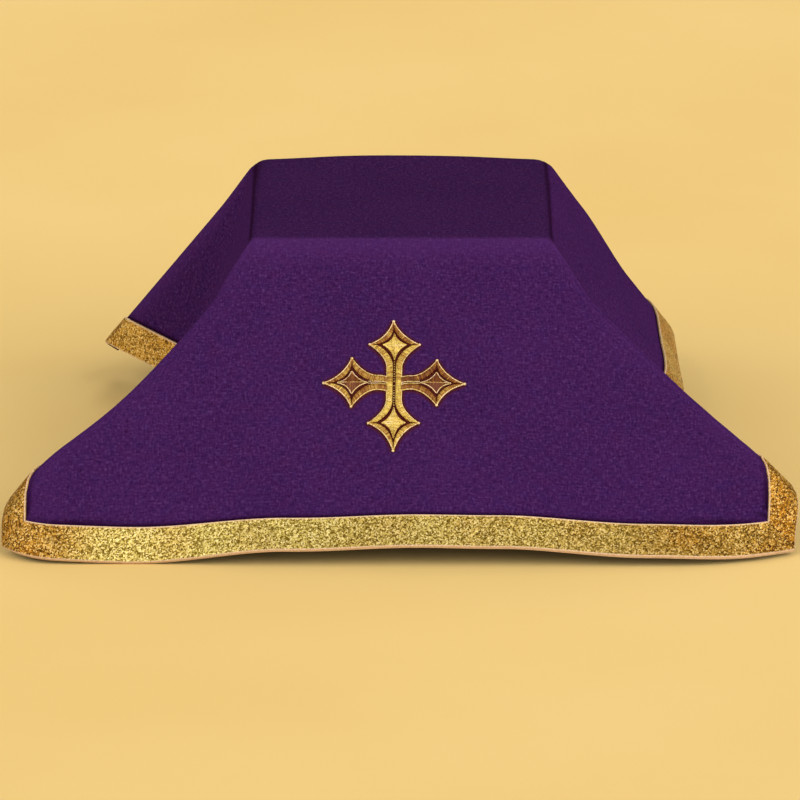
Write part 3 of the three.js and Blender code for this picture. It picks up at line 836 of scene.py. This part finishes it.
class Stitches:
    """Threads, each an arch from one flat point to another, in one mesh."""

    def __init__(self, seed):
        self.rng = np.random.default_rng(seed)
        self.flat, self.height, self.faces, self.tone, self.count = [], [], [], [], 0

    def thread(self, a, b, rise, tone, thick=0.3, steps=7, sharp=0.55, vary=0.15):
        """A stitch from a to b that rises over its padding. A pair of rises slopes instead."""
        a, b = np.array(a, float), np.array(b, float)
        t = np.linspace(0, 1, steps)
        line = a + (b - a) * t[:, None]
        across = np.array([a[1] - b[1], b[0] - a[0]]) / max(np.linalg.norm(b - a), 1e-6)
        arch = np.sin(math.pi * np.clip(t, 0.03, 0.97)) ** sharp
        base = arch * rise if np.isscalar(rise) else rise[0] + (rise[1] - rise[0]) * t
        for side, lift in ((-1, 0.0), (-0.62, 0.8), (0.62, 0.8), (1, 0.0)):
            self.flat.append(line + across * side * thick * 0.72)
            self.height.append(base + lift * thick * 0.75 - 0.05)
        self.tone.append(np.full(4 * steps, tone + self.rng.normal(0, vary)))
        for k in range(3):
            for i in range(steps - 1):
                p = self.count + k * steps + i
                self.faces.append((p, p + 1, p + steps + 1, p + steps))
        self.count += 4 * steps

    def band(self, place, outer, inner, rise, tone, pitch=0.42):
        """Satin stitches between two edges."""
        count = max(int(np.linalg.norm(np.diff(outer, axis=0), axis=1).sum() / pitch), 3)
        for p, q in zip(resample(outer, count), resample(inner, count)):
            width = np.linalg.norm(p - q)
            self.thread(place(p), place(q), rise * min(1.0, 0.35 + width / 4.2), tone)

    def cord(self, place, path, rise, tone, size, pitch=0.8, vary=0.15):
        """Short slanted stitches along a path, as a twisted cord."""
        path = np.array(path, float)
        line = resample(path, max(int(np.linalg.norm(np.diff(path, axis=0), axis=1).sum() / pitch), 3))
        for p, q in zip(line[:-1], line[1:]):
            step, mid = (q - p) * 0.55, (p + q) / 2
            lean = np.array([p[1] - q[1], q[0] - p[0]]) * 0.22
            a, b = place(mid - step - lean), place(mid + step + lean)
            self.thread(a, b, rise, tone, thick=size, steps=4, sharp=0.3, vary=vary)

    def mesh(self, name, material):
        flat = np.concatenate(self.flat) + np.array([CROSS_U, CROSS_V])
        height = CROSS_BASE + np.concatenate(self.height)
        points = surface(flat[:, 0], flat[:, 1]) + outward(flat[:, 0], flat[:, 1]) * height[:, None]
        return make_mesh(name, points, self.faces, material, {"tone": np.concatenate(self.tone)})


def build_cross(material):
    satin, cords = Stitches(29), Stitches(31)
    for arm in ARMS:
        place = arm_place(arm)
        upright = arm["turn"] % 180 != 0
        for side in (1, -1):
            outer_shaft, inner_shaft, outer_end, inner_end, gem = arm_lines(arm, side)
            up = 0 if (side > 0) == (arm["turn"] in (0, 90)) else 1
            satin.band(place, outer_shaft, inner_shaft, 1.3 if upright else 1.0, arm["shaft"][up])
            satin.band(place, outer_end, inner_end, 1.0, arm["end"][up])
            for p in resample(gem, 46):
                satin.thread(place(p), place((p[0], 0.02 * side)), (0.4, 1.1), arm["gem"][up], steps=4)
            cords.cord(place, outer_shaft, 0.35, 1.3 if upright else 1.25, 0.42)
            cords.cord(place, outer_end, 0.45, 1.4, 0.48)
            cords.cord(place, gem, 0.45, 0.85 if upright else 1.45, 0.32 if upright else 0.4)
        if upright:
            for x in np.arange(1.2, 16.0, 1.6):
                dot = place((x, 0.0)), place((x + 0.6, 0.0))
                cords.thread(*dot, 0.7, 0.95, thick=0.36, steps=3, sharp=0.1)
        else:
            cords.cord(place, [(16.5, 0), (arm["tip"] - 8.5, 0)], 1.2, 1.25, 0.36)
            for y in (-0.62, 0.62):
                cords.cord(place, [(4.8, y), (15.6, y)], 0.85, 1.3, 0.3, vary=0.25)
        for point, size in (((arm["tip"], 0.0), 0.85), ((26.0, 15.8), 0.8), ((26.0, -15.8), 0.8)):
            for a in (0, math.pi / 3, 2 * math.pi / 3):
                d = np.array([math.cos(a), math.sin(a)]) * size
                ends = place(np.array(point) - d), place(np.array(point) + d)
                cords.thread(*ends, 0.75, 1.45, thick=0.5, steps=5)
    return satin.mesh("cross_stitches", material), cords.mesh("cross_edging", material)


# The ground from its rim to the arm's axis: share of the arm's half width, how far beyond
# it, height over the middle of the cloth, and how far its colour fades into the cloth.
# Past the cross's edge the ground is a painted shadow round the stitches.
GROUND_AND_SHADOW_ROWS = [
    {"share": 1.0, "beyond": 2.4, "height": 0.50, "fade": 1.0},
    {"share": 1.0, "beyond": 1.3, "height": 0.80, "fade": 0.3},
    {"share": 1.0, "beyond": 0.2, "height": 1.12, "fade": 0.0},
    {"share": 0.5, "beyond": 0.0, "height": 1.15, "fade": 0.0},
    {"share": 0.0, "beyond": 0.0, "height": 1.15, "fade": 0.0},
]


def build_ground_and_shadow(material):
    """The dark ground under the stitches, a little wider than the cross; the part past the cross's edge is a
    painted shadow.
    """
    points, faces, wide = [], [], len(GROUND_AND_SHADOW_ROWS)
    for arm in ARMS:
        place = arm_place(arm)
        for side in (1, -1):
            outer_shaft, _, outer_end, _, _ = arm_lines(arm, side)
            rim = np.concatenate([resample(outer_shaft, 26), resample(outer_end, 22)[1:]])
            run = np.gradient(rim, axis=0)
            out = np.stack([-run[:, 1], run[:, 0]], -1) / np.linalg.norm(run, axis=1, keepdims=True) * side
            base = len(points)
            for p, q in zip(rim, out):
                for row in GROUND_AND_SHADOW_ROWS:
                    beyond = q * row["beyond"]
                    points.append(place((p[0] + beyond[0], p[1] * row["share"] + beyond[1])))
            for i in range(len(rim) - 1):
                for j in range(wide - 1):
                    a = base + wide * i + j
                    quad = (a, a + 1, a + wide + 1, a + wide)
                    faces.append(quad if side > 0 else quad[::-1])
    flat = np.array(points) + np.array([CROSS_U, CROSS_V])
    whole = lambda key: np.tile([row[key] for row in GROUND_AND_SHADOW_ROWS], len(points) // wide)
    lift = whole("height")
    spot = surface(flat[:, 0], flat[:, 1]) + outward(flat[:, 0], flat[:, 1]) * lift[:, None]
    return make_mesh("cross_ground_and_shadow", spot, faces, material, {"fade": whole("fade")})


stitches, edging = build_cross(thread_material())
cross_ground_and_shadow = build_ground_and_shadow(ground_and_shadow_material())

# What rides on what; the solid's cloth, braids and cross are hidden

pieces = [cloth, *galloons.values(), stitches, edging, cross_ground_and_shadow]
for piece in pieces:
    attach(piece, "root")
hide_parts("cloth")
for side, piece in galloons.items():
    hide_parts(f"braid_{side}")
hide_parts("cross")
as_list(pieces[1:])

bpy.context.view_layer.update()
